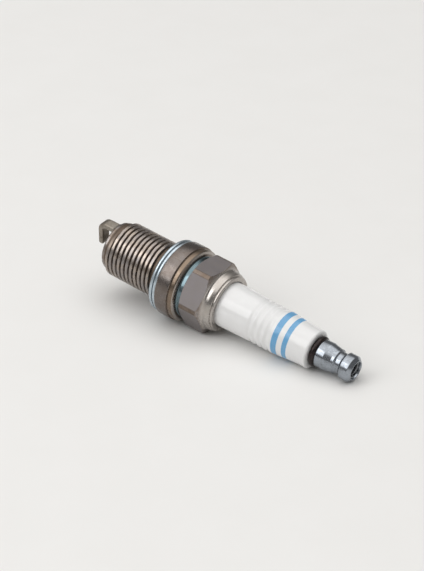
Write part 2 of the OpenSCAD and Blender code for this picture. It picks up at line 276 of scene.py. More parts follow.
def rounded(corners: Sequence[Sequence[float]], steps: int = 5) -> list[tuple[float, float]]:
    """Rounds the corners of an outline.

    Each corner is (radius from the axis, station, rounding). A rounding r turns the
    corner into the arc that touches both sides, at r * tan(turn / 2) from the corner.

    Args:
        corners: The outline's corners; a rounding may be left out.
        steps: Points on each arc.

    Returns:
        The outline's points.
    """
    spots = np.array([c[:2] for c in corners], float)
    out: list[tuple[float, float]] = []
    for i, corner in enumerate(corners):
        r = corner[2] if len(corner) > 2 else 0.0
        if r <= 0 or i in (0, len(corners) - 1):
            out.append((spots[i][0], spots[i][1]))
            continue
        back, ahead = spots[i - 1] - spots[i], spots[i + 1] - spots[i]
        room = 0.49 * min(np.linalg.norm(back), np.linalg.norm(ahead))
        back, ahead = back / np.linalg.norm(back), ahead / np.linalg.norm(ahead)
        inner = math.acos(float(np.clip(np.dot(back, ahead), -1.0, 1.0)))
        reach = min(r / math.tan(inner / 2), room)
        r = reach * math.tan(inner / 2)
        middle = (back + ahead) / np.linalg.norm(back + ahead)
        centre = spots[i] + middle * r / math.sin(inner / 2)
        start, end = spots[i] + back * reach - centre, spots[i] + ahead * reach - centre
        turn = math.atan2(start[0] * end[1] - start[1] * end[0], float(np.dot(start, end)))
        for k in range(steps + 1):
            a = turn * k / steps
            spot = centre + [start[0] * math.cos(a) - start[1] * math.sin(a),
                             start[0] * math.sin(a) + start[1] * math.cos(a)]
            out.append((float(spot[0]), float(spot[1])))
    return out


def smooth_step(x: Array) -> Array:
    """Smooth rise from 0 to 1: 3x^2 - 2x^3 with x held between 0 and 1."""
    x = np.clip(x, 0.0, 1.0)
    return x * x * (3.0 - 2.0 * x)


@dataclass(frozen=True)
class Helix:
    """A right-handed thread, as a radius over angle and station.

    Attributes:
        low: Station where the thread begins.
        high: Station where it ends.
        pitch: Rise of one turn.
        root: Radius at the bottom of the thread.
        depth: Height of a crest over the root.
        crest: Share of the half pitch that the rounded crest keeps flat.
        fade: Turns over which the thread rises at each end.
        valley: Share of the half pitch at which the valley's flat begins.
    """

    low: float
    high: float
    pitch: float
    root: float
    depth: float
    crest: float = 0.5
    fade: float = 0.4
    valley: float = 0.94

    def place(self, angle: Array, station: Array) -> Array:
        """Position in the thread, in pitches: (station - low) / pitch - angle / turn."""
        return (station - self.low) / self.pitch - angle / TAU

    def height(self, angle: Array, station: Array) -> Array:
        """Height over the root, from 0 to 1.

        A crest stands where the position is a whole number and a half, with flanks that
        rise smoothly over the rest of the pitch up to the valley.
        """
        place = self.place(angle, station)
        off = np.abs(place - np.floor(place) - 0.5) * 2.0
        return smooth_step((self.valley - off) / (self.valley - self.crest))

    def radius(self, angle: Array, station: Array) -> Array:
        """Radius of the thread: root + depth * height, faded in and out along each crest."""
        crest_number = np.floor(self.place(angle, station))
        turns = (self.high - self.low) / self.pitch
        along = crest_number + 0.5 + angle / TAU
        ends = smooth_step((along - 0.45) / self.fade)
        ends = ends * smooth_step((turns - 0.45 - along) / self.fade)
        return self.root + self.depth * self.height(angle, station) * ends

    def rows(self, per_pitch: int) -> Array:
        """Stations from low to high, with so many to a pitch."""
        count = int(round((self.high - self.low) / self.pitch * per_pitch)) + 1
        return np.linspace(self.low, self.high, count)


# ---------------------------------------------------------------- shader building blocks


class Graph:
    """Short ways to add nodes and links to one node tree."""

    def __init__(self, tree: bpy.types.NodeTree) -> None:
        """Wraps a node tree."""
        self.tree = tree
        self.source: bpy.types.Node | None = None
        self.sink: bpy.types.Node | None = None

    def node(self, kind: str, **settings: object) -> bpy.types.Node:
        """Adds a node and sets its properties."""
        made = self.tree.nodes.new(kind)
        for key, value in settings.items():
            setattr(made, key, value)
        return made

    def put(self, socket: bpy.types.NodeSocket, value: object) -> None:
        """Links a socket, or sets a plain value on the input socket."""
        if isinstance(value, bpy.types.NodeSocket):
            self.tree.links.new(value, socket)
        elif isinstance(value, tuple) and len(value) == 3 and socket.type == "RGBA":
            socket.default_value = (*value, 1.0)
        else:
            socket.default_value = value

    def math(
        self, operation: str, a: object, b: object = None, c: object = None
    ) -> bpy.types.NodeSocket:
        """A Math node's result."""
        made = self.node("ShaderNodeMath", operation=operation)
        for socket, value in zip(made.inputs, (a, b, c)):
            if value is not None:
                self.put(socket, value)
        return made.outputs[0]

    def times(self, a: object, b: object) -> bpy.types.NodeSocket:
        """Product of two values."""
        return self.math("MULTIPLY", a, b)

    def plus(self, a: object, b: object) -> bpy.types.NodeSocket:
        """Sum of two values."""
        return self.math("ADD", a, b)

    def minus(self, a: object, b: object) -> bpy.types.NodeSocket:
        """Difference of two values."""
        return self.math("SUBTRACT", a, b)

    def dot(self, a: object, b: Sequence[float]) -> bpy.types.NodeSocket:
        """Dot product of a vector socket and a fixed vector."""
        made = self.node("ShaderNodeVectorMath", operation="DOT_PRODUCT")
        self.put(made.inputs[0], a)
        made.inputs[1].default_value = tuple(b)
        return made.outputs["Value"]

    def ramp(
        self, value: object, low: float, high: float, to: tuple[float, float] = (0, 1)
    ) -> bpy.types.NodeSocket:
        """Smoothly maps a value from low..high to the range given, and holds it there."""
        made = self.node("ShaderNodeMapRange", interpolation_type="SMOOTHSTEP", clamp=True)
        self.put(made.inputs["Value"], value)
        for key, number in (("From Min", low), ("From Max", high), ("To Min", to[0]), ("To Max", to[1])):
            made.inputs[key].default_value = number
        return made.outputs["Result"]

    def band(self, value: object, low: float, high: float, soft: float) -> bpy.types.NodeSocket:
        """Mask that is 1 between low and high and falls off over soft on both sides."""
        rise = self.ramp(value, low - soft, low + soft)
        fall = self.ramp(value, high - soft, high + soft, (1, 0))
        return self.times(rise, fall)

    def noise(
        self, vector: object, scale: float, detail: float = 3.0, roughness: float = 0.55
    ) -> bpy.types.NodeSocket:
        """Noise over a vector, between 0 and 1."""
        made = self.node("ShaderNodeTexNoise")
        self.put(made.inputs["Vector"], vector)
        made.inputs["Scale"].default_value = scale
        made.inputs["Detail"].default_value = detail
        made.inputs["Roughness"].default_value = roughness
        return made.outputs["Fac"]

    def mix(self, amount: object, a: object, b: object) -> bpy.types.NodeSocket:
        """Mixes two colours."""
        made = self.node("ShaderNodeMix", data_type="RGBA")
        self.put(made.inputs[0], amount)
        self.put(made.inputs[6], a)
        self.put(made.inputs[7], b)
        return made.outputs[2]

    def bump(self, height: object, strength: float, distance: float) -> bpy.types.NodeSocket:
        """Normal from a height, in metres of distance."""
        made = self.node("ShaderNodeBump")
        made.inputs["Strength"].default_value = strength
        made.inputs["Distance"].default_value = distance
        self.put(made.inputs["Height"], height)
        return made.outputs["Normal"]


class GroupKind(Enum):
    """The shader groups that several finishes share."""

    PLACE = "plug_place"
    TURNING = "turning_marks"
    GRAIN = "cast_grain"
    TARNISH = "tarnish"


class Groups:
    """Shader node groups, each built once."""

    def __init__(self, axis: PlugAxis) -> None:
        """Builds every group for the given plug axis."""
        self.axis = axis
        self._made = {
            GroupKind.PLACE: self._place(),
            GroupKind.TURNING: self._turning(),
            GroupKind.GRAIN: self._grain(),
            GroupKind.TARNISH: self._tarnish(),
        }

    @staticmethod
    def _empty(name: str, inputs: dict[str, float | None], outputs: Sequence[str]) -> Graph:
        """An empty group with its sockets; an input of None is a vector."""
        tree = bpy.data.node_groups.new(name, "ShaderNodeTree")
        for key, value in inputs.items():
            kind = "NodeSocketVector" if value is None else "NodeSocketFloat"
            made = tree.interface.new_socket(key, in_out="INPUT", socket_type=kind)
            if value is not None:
                made.default_value = value
        for key in outputs:
            kind = "NodeSocketVector" if key == "Local" else "NodeSocketFloat"
            tree.interface.new_socket(key, in_out="OUTPUT", socket_type=kind)
        graph = Graph(tree)
        graph.source = graph.node("NodeGroupInput")
        graph.sink = graph.node("NodeGroupOutput")
        return graph

    def _place(self) -> bpy.types.NodeTree:
        """Where a point lies on the plug, in millimetres.

        Station = (point - seat) . along, Radius = length of the rest, and Turn is the
        angle round the axis, in turns. Local holds the same point along the plug's axes.
        """
        graph = self._empty(GroupKind.PLACE.value, {"Object": None},
                            ("Station", "Radius", "Turn", "Local"))
        axis = self.axis
        source = graph.source.outputs["Object"]
        offset = [float(np.dot(axis.seat, v)) for v in (axis.along, axis.up, axis.side)]
        parts = []
        for vector, start in zip((axis.along, axis.up, axis.side), offset):
            far = graph.minus(graph.dot(source, vector), start)
            parts.append(graph.math("DIVIDE", far, MM))
        station, up, side = parts
        squared = graph.plus(graph.times(up, up), graph.times(side, side))
        turn = graph.math("DIVIDE", graph.math("ARCTAN2", side, up), TAU)
        local = graph.node("ShaderNodeCombineXYZ")
        for socket, value in zip(local.inputs, (station, up, side)):
            graph.put(socket, value)
        sink = graph.sink.inputs
        graph.put(sink["Station"], station)
        graph.put(sink["Radius"], graph.math("SQRT", squared))
        graph.put(sink["Turn"], turn)
        graph.put(sink["Local"], local.outputs[0])
        return graph.tree

    def _turning(self) -> bpy.types.NodeTree:
        """Fine rings that a cutting tool leaves: noise over the station and the radius."""
        graph = self._empty(GroupKind.TURNING.value, {"Station": 0.0, "Radius": 0.0, "Local": None},
                            ("Height", "Streak"))
        source = graph.source.outputs
        lines = graph.node("ShaderNodeCombineXYZ")
        graph.put(lines.inputs[0], source["Station"])
        graph.put(lines.inputs[1], source["Radius"])
        fine = graph.noise(lines.outputs[0], 16.0, 2.0)
        broad = graph.noise(lines.outputs[0], 3.5, 1.0)
        blotch = graph.noise(source["Local"], 0.9, 2.0)
        worn = graph.times(fine, graph.ramp(blotch, 0.3, 0.7, (0.4, 1.0)))
        graph.put(graph.sink.inputs["Height"], worn)
        streak = graph.plus(graph.times(worn, 0.6), graph.times(broad, 0.4))
        graph.put(graph.sink.inputs["Streak"], streak)
        return graph.tree

    def _grain(self) -> bpy.types.NodeTree:
        """Grain of a formed and plated surface: fine noise with pits and a few scratches."""
        graph = self._empty(GroupKind.GRAIN.value, {"Local": None}, ("Height", "Pits", "Scratches"))
        local = graph.source.outputs["Local"]
        fine = graph.noise(local, 4.0, 5.0, 0.75)
        cells = graph.node("ShaderNodeTexVoronoi")
        graph.put(cells.inputs["Vector"], local)
        cells.inputs["Scale"].default_value = 3.2
        pits = graph.ramp(cells.outputs["Distance"], 0.05, 0.22, (1, 0))
        pits = graph.times(pits, graph.ramp(graph.noise(local, 1.1, 2.0), 0.48, 0.66))
        stretch = graph.node("ShaderNodeMapping")
        graph.put(stretch.inputs["Vector"], local)
        stretch.inputs["Rotation"].default_value = (0.5, 0.9, 0.35)
        stretch.inputs["Scale"].default_value = (0.18, 9.0, 4.0)
        scratches = graph.ramp(graph.noise(stretch.outputs[0], 1.0, 1.0), 0.66, 0.74)
        graph.put(graph.sink.inputs["Height"], fine)
        graph.put(graph.sink.inputs["Pits"], pits)
        graph.put(graph.sink.inputs["Scratches"], scratches)
        return graph.tree

    def _tarnish(self) -> bpy.types.NodeTree:
        """Blotches of tarnish: two sizes of noise, drawn together."""
        graph = self._empty(GroupKind.TARNISH.value, {"Local": None}, ("Blotch", "Speck"))
        local = graph.source.outputs["Local"]
        broad = graph.noise(local, 0.35, 3.0)
        middle = graph.noise(local, 1.6, 4.0, 0.65)
        both = graph.plus(graph.times(broad, 0.6), graph.times(middle, 0.4))
        graph.put(graph.sink.inputs["Blotch"], graph.ramp(both, 0.38, 0.62))
        graph.put(graph.sink.inputs["Speck"], graph.ramp(graph.noise(local, 5.0, 3.0), 0.6, 0.72))
        return graph.tree

    def add(self, graph: Graph, kind: GroupKind, **inputs: object) -> bpy.types.bpy_prop_collection:
        """Places a group in a material and gives its outputs."""
        made = graph.node("ShaderNodeGroup", node_tree=self._made[kind])
        for key, value in inputs.items():
            graph.put(made.inputs[key], value)
        return made.outputs


@dataclass
class Surface:
    """The sockets that a finish paints with.

    Attributes:
        graph: The material's graph.
        shader: Its Principled shader.
        place: Outputs of the place group: Station, Radius, Turn and Local.
    """

    graph: Graph
    shader: bpy.types.Node
    place: bpy.types.bpy_prop_collection


class Finish:
    """A procedural material. Each kind of finish fills in paint()."""

    name: str

    def paint(self, surface: Surface, groups: Groups) -> None:
        """Sets the shader's inputs."""
        raise NotImplementedError

    def material(self, groups: Groups) -> bpy.types.Material:
        """Builds the material.

        Args:
            groups: The shared shader groups.

        Returns:
            The new material.
        """
        made = bpy.data.materials.new(self.name)
        made.use_nodes = True
        made.node_tree.nodes.clear()
        graph = Graph(made.node_tree)
        shader = graph.node("ShaderNodeBsdfPrincipled")
        output = graph.node("ShaderNodeOutputMaterial")
        graph.put(output.inputs["Surface"], shader.outputs[0])
        coordinates = graph.node("ShaderNodeTexCoord")
        place = groups.add(graph, GroupKind.PLACE, Object=coordinates.outputs["Object"])
        self.paint(Surface(graph, shader, place), groups)
        return made


# ---------------------------------------------------------------- sizes of the plug


@dataclass(frozen=True)
class ShellSizes:
    """Stations and radii of the metal shell, in millimetres."""

    end: float = -19.0
    lead_end: float = -17.8
    lead_r: float = 6.1
    thread_high: float = -2.85
    pitch: float = 1.25
    root_r: float = 6.36
    thread_depth: float = 0.635
    relief_r: float = 6.1
    collar_r: float = 9.385
    collar_end: float = 3.5
    step_r: float = 9.1
    step_end: float = 5.1
    groove_r: float = 7.6
    groove_end: float = 6.3
    flat: float = 8.0
    corner_r: float = 9.0
    hex_end: float = 12.4
    low_face_r: float = 7.75
    low_slope: float = 30.0
    high_face_r: float = 7.7
    high_slope: float = 30.0
    shoulder_r: float = 7.45
    shoulder_end: float = 14.4
    crimp_groove_r: float = 6.95
    crimp_groove_end: float = 14.6
    lip_r: float = 6.95
    lip_end: float = 15.08
    lip_bore_r: float = 5.75
    hex_bore_r: float = 6.7
    mid_bore_r: float = 5.3
    ledge: float = -8.4
    ledge_r: float = 3.9
    ledge_h: float = 1.2
    mouth_r: float = 4.7


@dataclass(frozen=True)
class CeramicSizes:
    """Stations and radii of the insulator, in millimetres."""

    nose: float = -20.3
    nose_tip_r: float = 2.3
    nose_root_r: float = 3.6
    seat: float = -8.014
    seat_r: float = 3.9
    mid_r: float = 5.1
    shoulder_r: float = 6.6
    shoulder_top: float = 8.0
    rear_r: float = 5.6
    rear_end: float = 15.9
    rib_r: float = 5.35
    rib_start: float = 23.48
    rib_end: float = 30.08
    rib_count: int = 4
    rib_depth: float = 0.2
    end_r: float = 4.7
    end_start: float = 37.1
    end: float = 39.68
    end_round: float = 1.05
    bore_r: float = 2.0
    head: float = -6.0
    shank_r: float = 1.27
    bands: tuple[tuple[float, float], ...] = ((30.65, 32.1), (33.45, 34.65))


@dataclass(frozen=True)
class StudSizes:
    """Stations and radii of the terminal stud, in millimetres."""

    low: float = 7.26
    shaft_r: float = 1.75
    knurl_h: float = 1.6
    flange: float = 39.7
    flange_r: float = 3.75
    flange_h: float = 1.5
    thread_start: float = 41.45
    end: float = 49.0
    pitch: float = 0.7
    root_r: float = 1.575
    thread_depth: float = 0.42


@dataclass(frozen=True)
class NutSizes:
    """Stations and radii of the terminal nut, in millimetres."""

    low: float = 41.25
    base_r: float = 3.35
    base_end: float = 43.25
    brow: float = 45.075
    brow_r: float = 2.95
    brow_end: float = 45.775
    neck: float = 46.075
    neck_r: float = 2.55
    neck_end: float = 47.275
    cap: float = 47.8
    cap_r: float = 3.175
    chamfer: float = 0.8
    end: float = 50.5
    clearance: float = 0.055
    mouth_r: float = 2.1


@dataclass(frozen=True)
class GasketSizes:
    """Stations and radii of the gasket, in millimetres."""

    low: float = -1.95
    high: float = -0.05
    inner_r: float = 6.75
    outer_r: float = 9.1
    fold: float = 0.5


@dataclass(frozen=True)
class ElectrodeSizes:
    """Stations and radii of both electrodes, in millimetres."""

    tip: float = -21.8
    shank_r: float = 1.25
    head: float = -6.0
    head_r: float = 1.75
    head_h: float = 1.2
    core_r: float = 0.77
    core_floor: float = 1.6
    strap_inside: float = -22.6
    strap_t: float = 1.4
    strap_w: float = 2.6
    strap_outer_x: float = 5.85
    strap_bend_r: float = 0.9
    strap_past: float = 0.8
    strap_angle: float = 8.0


# ---------------------------------------------------------------- finishes


@dataclass(frozen=True)
class ShellNickel(Finish):
    """Satin nickel plate, tarnished brown, with a heat-tinted groove and grainy flats."""

    sizes: ShellSizes
    name: str = "shell_nickel_finish"
    grey: Colour = (0.29, 0.265, 0.255)
    brown: Colour = (0.225, 0.178, 0.145)
    # valley: painted shade in the thread valleys, along the collar line and on the hexagon's corners;
    # also the colour of the pits.
    valley: Colour = (0.15, 0.115, 0.09)
    crest: Colour = (0.38, 0.325, 0.28)
    flat_grey: Colour = (0.25, 0.23, 0.233)
    collar_painted_shade: Colour = (0.15, 0.13, 0.12)
    tint: Colour = (0.155, 0.215, 0.24)
    step_brown: Colour = (0.215, 0.165, 0.125)
    polish_and_highlight: Colour = (0.50, 0.47, 0.44)

    def paint(self, surface: Surface, groups: Groups) -> None:
        """Colours by station and radius: valleys dark with painted shade, crests bright, and the crimp
        bright with polish and a painted highlight.
        """
        g, place, s = surface.graph, surface.place, self.sizes
        station, radius = place["Station"], place["Radius"]
        tarnish = groups.add(g, GroupKind.TARNISH, Local=place["Local"])
        grain = groups.add(g, GroupKind.GRAIN, Local=place["Local"])
        turning = groups.add(g, GroupKind.TURNING, Station=station, Radius=radius, Local=place["Local"])
        colour = g.mix(tarnish["Blotch"], self.grey, self.brown)

        on_thread = g.band(station, s.end + 0.8, s.thread_high + 0.3, 0.1)
        # Painted shade: the thread darkens from its crests down into its valleys.
        high = g.ramp(radius, s.root_r + 0.1, s.root_r + s.thread_depth - 0.05)
        thread = g.mix(high, self.valley, g.mix(tarnish["Blotch"], self.crest, self.grey))
        colour = g.mix(on_thread, colour, thread)

        # Painted shade: the collar's colour is darkened to dim the lamp's reflection on it.
        collar = g.band(station, 0.1, s.collar_end, 0.15)
        colour = g.mix(g.times(collar, 0.75), colour, self.collar_painted_shade)
        step = g.band(station, s.collar_end + 0.1, s.step_end - 0.1, 0.1)
        colour = g.mix(step, colour, self.step_brown)
        # Painted shade: a dark line where the collar meets the step.
        line = g.band(station, s.collar_end - 0.02, s.collar_end + 0.16, 0.05)
        colour = g.mix(g.times(line, 0.7), colour, self.valley)
        # Lighter rim at the step's edge: worn metal with a painted highlight.
        rim = g.band(station, s.step_end - 0.3, s.step_end + 0.02, 0.06)
        colour = g.mix(g.times(rim, 0.6), colour, self.polish_and_highlight)
        groove = g.times(g.band(station, s.step_end, s.groove_end, 0.06),
                        g.ramp(radius, s.groove_r + 0.1, s.groove_r + 0.3, (1, 0)))
        colour = g.mix(groove, colour, self.tint)

        side, half_side = 1.0 / 6.0, 1.0 / 12.0
        wrapped = g.math("WRAP", g.plus(place["Turn"], half_side), side, 0.0)
        off_middle = g.times(g.minus(wrapped, half_side), TAU)
        across = g.times(radius, g.math("COSINE", off_middle))
        on_hexagon = g.band(station, s.groove_end, s.hex_end, 0.02)
        flat = g.times(g.ramp(across, s.flat - 0.03, s.flat - 0.01), on_hexagon)
        colour = g.mix(flat, colour, g.mix(g.times(tarnish["Blotch"], 0.5), self.flat_grey, self.grey))
        # Painted shade: a dark line along the hexagon's rounded corners.
        corner = g.times(g.ramp(radius, s.corner_r - 0.16, s.corner_r - 0.04), on_hexagon)
        colour = g.mix(g.times(corner, 0.8), colour, self.valley)
        # Crimp shoulder and lip lightened: polished by rolling, with a painted highlight.
        crimp = g.ramp(station, s.hex_end - 0.4, s.hex_end + 0.1)
        off_flat = g.minus(1.0, flat)
        colour = g.mix(g.times(crimp, g.times(off_flat, 0.75)), colour, self.polish_and_highlight)
        nick = g.times(grain["Scratches"], 0.3)
        colour = g.mix(nick, colour, self.crest)
        colour = g.mix(g.times(grain["Pits"], 0.55), colour, self.valley)

        rough = g.plus(0.23, g.times(tarnish["Blotch"], 0.12))
        rough = g.plus(rough, g.times(flat, 0.22))
        rough = g.plus(rough, g.times(g.times(on_thread, g.minus(1.0, high)), 0.25))
        rough = g.minus(rough, g.times(groove, 0.1))
        height = g.times(grain["Height"], g.plus(0.25, g.times(flat, 2.6)))
        height = g.plus(height, g.times(turning["Height"], g.times(off_flat, 0.35)))
        height = g.minus(height, g.times(grain["Pits"], 0.8))
        g.put(surface.shader.inputs["Base Color"], colour)
        g.put(surface.shader.inputs["Roughness"], rough)
        g.put(surface.shader.inputs["Normal"], g.bump(height, 0.6, 0.00004))
        surface.shader.inputs["Metallic"].default_value = 1.0


@dataclass(frozen=True)
class Plate(Finish):
    """Bright plated steel with fine turning lines, scratches and a little tarnish.

    Attributes:
        name: Name of the material.
        bright: Colour of the clean plate.
        dull: Colour of the tarnished plate.
        rough: Roughness of the clean plate.
        turning: How strongly the turning lines show.
        pit_and_shade: Colour in the pits, and painted shade in the fold and the bore.
        fold: Stations between which a dark line of painted shade runs round the rim, if any.
        bore_r: Radius within which the bore is darkened with painted shade, or 0 for none.
    """

    name: str = "nut_zinc_finish"
    bright: Colour = (0.35, 0.38, 0.42)
    dull: Colour = (0.17, 0.18, 0.195)
    rough: float = 0.12
    turning: float = 0.5
    pit_and_shade: Colour = (0.16, 0.155, 0.15)
    fold: tuple[float, float] | None = None
    bore_r: float = 0.0

    def paint(self, surface: Surface, groups: Groups) -> None:
        """Turning lines in the gloss, tarnish in the colour, painted shade in the bore and fold."""
        g, place = surface.graph, surface.place
        tarnish = groups.add(g, GroupKind.TARNISH, Local=place["Local"])
        grain = groups.add(g, GroupKind.GRAIN, Local=place["Local"])
        station, radius = place["Station"], place["Radius"]
        turning = groups.add(g, GroupKind.TURNING, Station=station, Radius=radius, Local=place["Local"])
        colour = g.mix(g.times(tarnish["Blotch"], 0.55), self.bright, self.dull)
        colour = g.mix(g.times(grain["Pits"], 0.5), colour, self.pit_and_shade)
        # Painted shade: a dark line along the fold.
        if self.fold:
            line = g.band(station, self.fold[0], self.fold[1], 0.12)
            colour = g.mix(g.times(line, 0.7), colour, self.pit_and_shade)
        # Painted shade: the bore darkened inside its radius.
        if self.bore_r:
            inside = g.ramp(radius, self.bore_r - 0.25, self.bore_r, (1, 0))
            colour = g.mix(g.times(inside, 0.6), colour, self.pit_and_shade)
        rough = g.plus(self.rough, g.times(tarnish["Blotch"], 0.12))
        rough = g.plus(rough, g.times(turning["Streak"], 0.1))
        height = g.plus(g.times(turning["Height"], self.turning), g.times(grain["Height"], 0.25))
        height = g.minus(height, g.times(grain["Scratches"], 0.3))
        g.put(surface.shader.inputs["Base Color"], colour)
        g.put(surface.shader.inputs["Roughness"], rough)
        g.put(surface.shader.inputs["Normal"], g.bump(height, 0.4, 0.00002))
        surface.shader.inputs["Metallic"].default_value = 1.0


@dataclass(frozen=True)
class ElectrodeNickel(Finish):
    """Dull nickel alloy with heat colours that deepen towards the firing end."""

    sizes: ElectrodeSizes
    name: str = "electrode_nickel_finish"
    clean: Colour = (0.34, 0.31, 0.27)
    burnt: Colour = (0.19, 0.16, 0.13)

    def paint(self, surface: Surface, groups: Groups) -> None:
        """Mixes the clean and the burnt colour by station and by blotches."""
        g, place = surface.graph, surface.place
        tarnish = groups.add(g, GroupKind.TARNISH, Local=place["Local"])
        grain = groups.add(g, GroupKind.GRAIN, Local=place["Local"])
        heat = g.ramp(place["Station"], self.sizes.tip - 1.5, self.sizes.tip + 2.5, (0.75, 0.25))
        colour = g.mix(g.times(heat, g.plus(0.4, tarnish["Blotch"])), self.clean, self.burnt)
        height = g.minus(grain["Height"], g.times(grain["Scratches"], 0.4))
        g.put(surface.shader.inputs["Base Color"], colour)
        g.put(surface.shader.inputs["Roughness"], g.plus(0.38, g.times(tarnish["Blotch"], 0.15)))
        g.put(surface.shader.inputs["Normal"], g.bump(height, 0.5, 0.00002))
        surface.shader.inputs["Metallic"].default_value = 1.0


@dataclass(frozen=True)
class GlazedCeramic(Finish):
    """White glazed alumina with two printed blue bands and a bare firing end."""

    sizes: CeramicSizes
    name: str = "ceramic_finish"
    white: Colour = (0.80, 0.80, 0.80)
    shaded: Colour = (0.755, 0.755, 0.75)
    blue: Colour = (0.135, 0.37, 0.63)
    bare: Colour = (0.80, 0.77, 0.72)

    def paint(self, surface: Surface, groups: Groups) -> None:
        """Bands lie between their stations, with a slightly uneven printed edge."""
        g, place, s = surface.graph, surface.place, self.sizes
        tarnish = groups.add(g, GroupKind.TARNISH, Local=place["Local"])
        wobble = g.times(g.minus(g.noise(place["Local"], 2.2, 2.0), 0.5), 0.12)
        station = g.plus(place["Station"], wobble)
        colour = g.mix(g.times(tarnish["Blotch"], 0.25), self.white, self.shaded)
        outside = g.ramp(place["Radius"], s.bore_r + 0.5, s.bore_r + 0.8)
        ink = g.ramp(g.noise(place["Local"], 6.0, 3.0), 0.2, 0.5, (0.86, 1.0))
        for low, high in s.bands:
            mask = g.times(g.band(station, low, high, 0.06), outside)
            colour = g.mix(g.times(mask, ink), colour, self.blue)
        nose = g.ramp(place["Station"], s.seat - 2.0, s.seat, (1, 0))
        colour = g.mix(nose, colour, self.bare)
        glaze = g.ramp(place["Station"], s.seat, s.seat + 1.0, (0.5, 0.11))
        g.put(surface.shader.inputs["Base Color"], colour)
        g.put(surface.shader.inputs["Roughness"], g.plus(glaze, g.times(tarnish["Blotch"], 0.03)))
        g.put(surface.shader.inputs["Normal"], g.bump(g.noise(place["Local"], 0.8, 2.0), 0.25, 0.00004))
        surface.shader.inputs["IOR"].default_value = 1.55
        surface.shader.inputs["Subsurface Weight"].default_value = 0.15
        surface.shader.inputs["Subsurface Scale"].default_value = 0.001
        surface.shader.inputs["Subsurface Radius"].default_value = (1.0, 1.0, 1.0)


@dataclass(frozen=True)
class HeatDarkSteel(Finish):
    """Steel darkened in the glass-sealing furnace: a brown-black skin, worn on the thread."""

    sizes: StudSizes
    name: str = "stud_steel_finish"
    dark: Colour = (0.028, 0.023, 0.023)
    rust: Colour = (0.085, 0.062, 0.056)
    bright: Colour = (0.30, 0.29, 0.285)

    def paint(self, surface: Surface, groups: Groups) -> None:
        """The flange is dark with brown streaks, and the thread's crests are bright."""
        g, place, s = surface.graph, surface.place, self.sizes
        tarnish = groups.add(g, GroupKind.TARNISH, Local=place["Local"])
        grain = groups.add(g, GroupKind.GRAIN, Local=place["Local"])
        streak = g.times(tarnish["Blotch"], g.ramp(g.noise(place["Local"], 2.5, 3.0), 0.42, 0.62))
        skin = g.mix(streak, self.dark, self.rust)
        thread = g.ramp(place["Station"], s.thread_start - 0.2, s.thread_start + 0.1)
        worn = g.ramp(place["Radius"], s.root_r + 0.1, s.root_r + s.thread_depth)
        colour = g.mix(g.times(thread, g.plus(0.35, g.times(worn, 0.6))), skin, self.bright)
        g.put(surface.shader.inputs["Base Color"], colour)
        g.put(surface.shader.inputs["Roughness"], g.plus(0.27, g.times(tarnish["Blotch"], 0.15)))
        g.put(surface.shader.inputs["Normal"], g.bump(grain["Height"], 0.5, 0.00003))
        surface.shader.inputs["Metallic"].default_value = 0.85


@dataclass(frozen=True)
class Inside(Finish):
    """Plain finish of a piece that is sealed inside: a speckled body colour.

    Attributes:
        name: Name of the material.
        colour: Main colour.
        speck: Colour of the specks.
        rough: Roughness.
        metal: Metallic value.
    """

    name: str
    colour: Colour
    speck: Colour
    rough: float
    metal: float = 0.0

    def paint(self, surface: Surface, groups: Groups) -> None:
        """Specks on the body colour, and a grain in the surface."""
        g, place = surface.graph, surface.place
        tarnish = groups.add(g, GroupKind.TARNISH, Local=place["Local"])
        grain = groups.add(g, GroupKind.GRAIN, Local=place["Local"])
        g.put(surface.shader.inputs["Base Color"], g.mix(tarnish["Speck"], self.colour, self.speck))
        g.put(surface.shader.inputs["Roughness"], g.plus(self.rough, g.times(tarnish["Blotch"], 0.1)))
        g.put(surface.shader.inputs["Normal"], g.bump(grain["Height"], 0.4, 0.00003))
        surface.shader.inputs["Metallic"].default_value = self.metal


INNER_FINISHES: dict[str, Inside] = {
    "packing_washer": Inside("washer_steel_finish", (0.62, 0.62, 0.62), (0.45, 0.44, 0.42), 0.35, 1.0),
    "lower_wire_ring": Inside("lower_ring_finish", (0.50, 0.50, 0.51), (0.33, 0.31, 0.29), 0.35, 1.0),
    "upper_wire_ring": Inside("upper_ring_finish", (0.50, 0.50, 0.51), (0.33, 0.31, 0.29), 0.35, 1.0),
    "talc_packing": Inside("talc_finish", (0.78, 0.78, 0.74), (0.62, 0.62, 0.58), 0.85),
    "center_electrode_core": Inside("copper_finish", (0.80, 0.42, 0.26), (0.50, 0.24, 0.15), 0.3, 1.0),
    "lower_glass_seal": Inside("lower_seal_finish", (0.10, 0.11, 0.13), (0.55, 0.30, 0.18), 0.2),
    "upper_glass_seal": Inside("upper_seal_finish", (0.10, 0.11, 0.13), (0.55, 0.30, 0.18), 0.2),
    "resistor": Inside("resistor_finish", (0.07, 0.065, 0.06), (0.20, 0.19, 0.18), 0.6),
}


# ---------------------------------------------------------------- the plug's pieces


@dataclass
class Workshop:
    """What every sub-assembly is built with.

    Attributes:
        axis: The plug axis.
        groups: The shared shader groups.
    """

    axis: PlugAxis
    groups: Groups

    def hand_over(
        self, piece: bpy.types.Object, finish: Finish, body: Body, slot: Slot, node: str
    ) -> None:
        """Dresses a piece, attaches it to its body and hides the node that it stands for.

        Args:
            piece: The finished mesh object.
            finish: Its finish.
            body: The body that it moves with.
            slot: The record's slot; not used.
            node: The node that it stands for.
        """
        piece.data.materials.append(finish.material(self.groups))
        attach(piece, body.value)
        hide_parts(node)
        LOG.info("%s: %d faces, rides on %s", piece.name, len(piece.data.polygons), body.value)


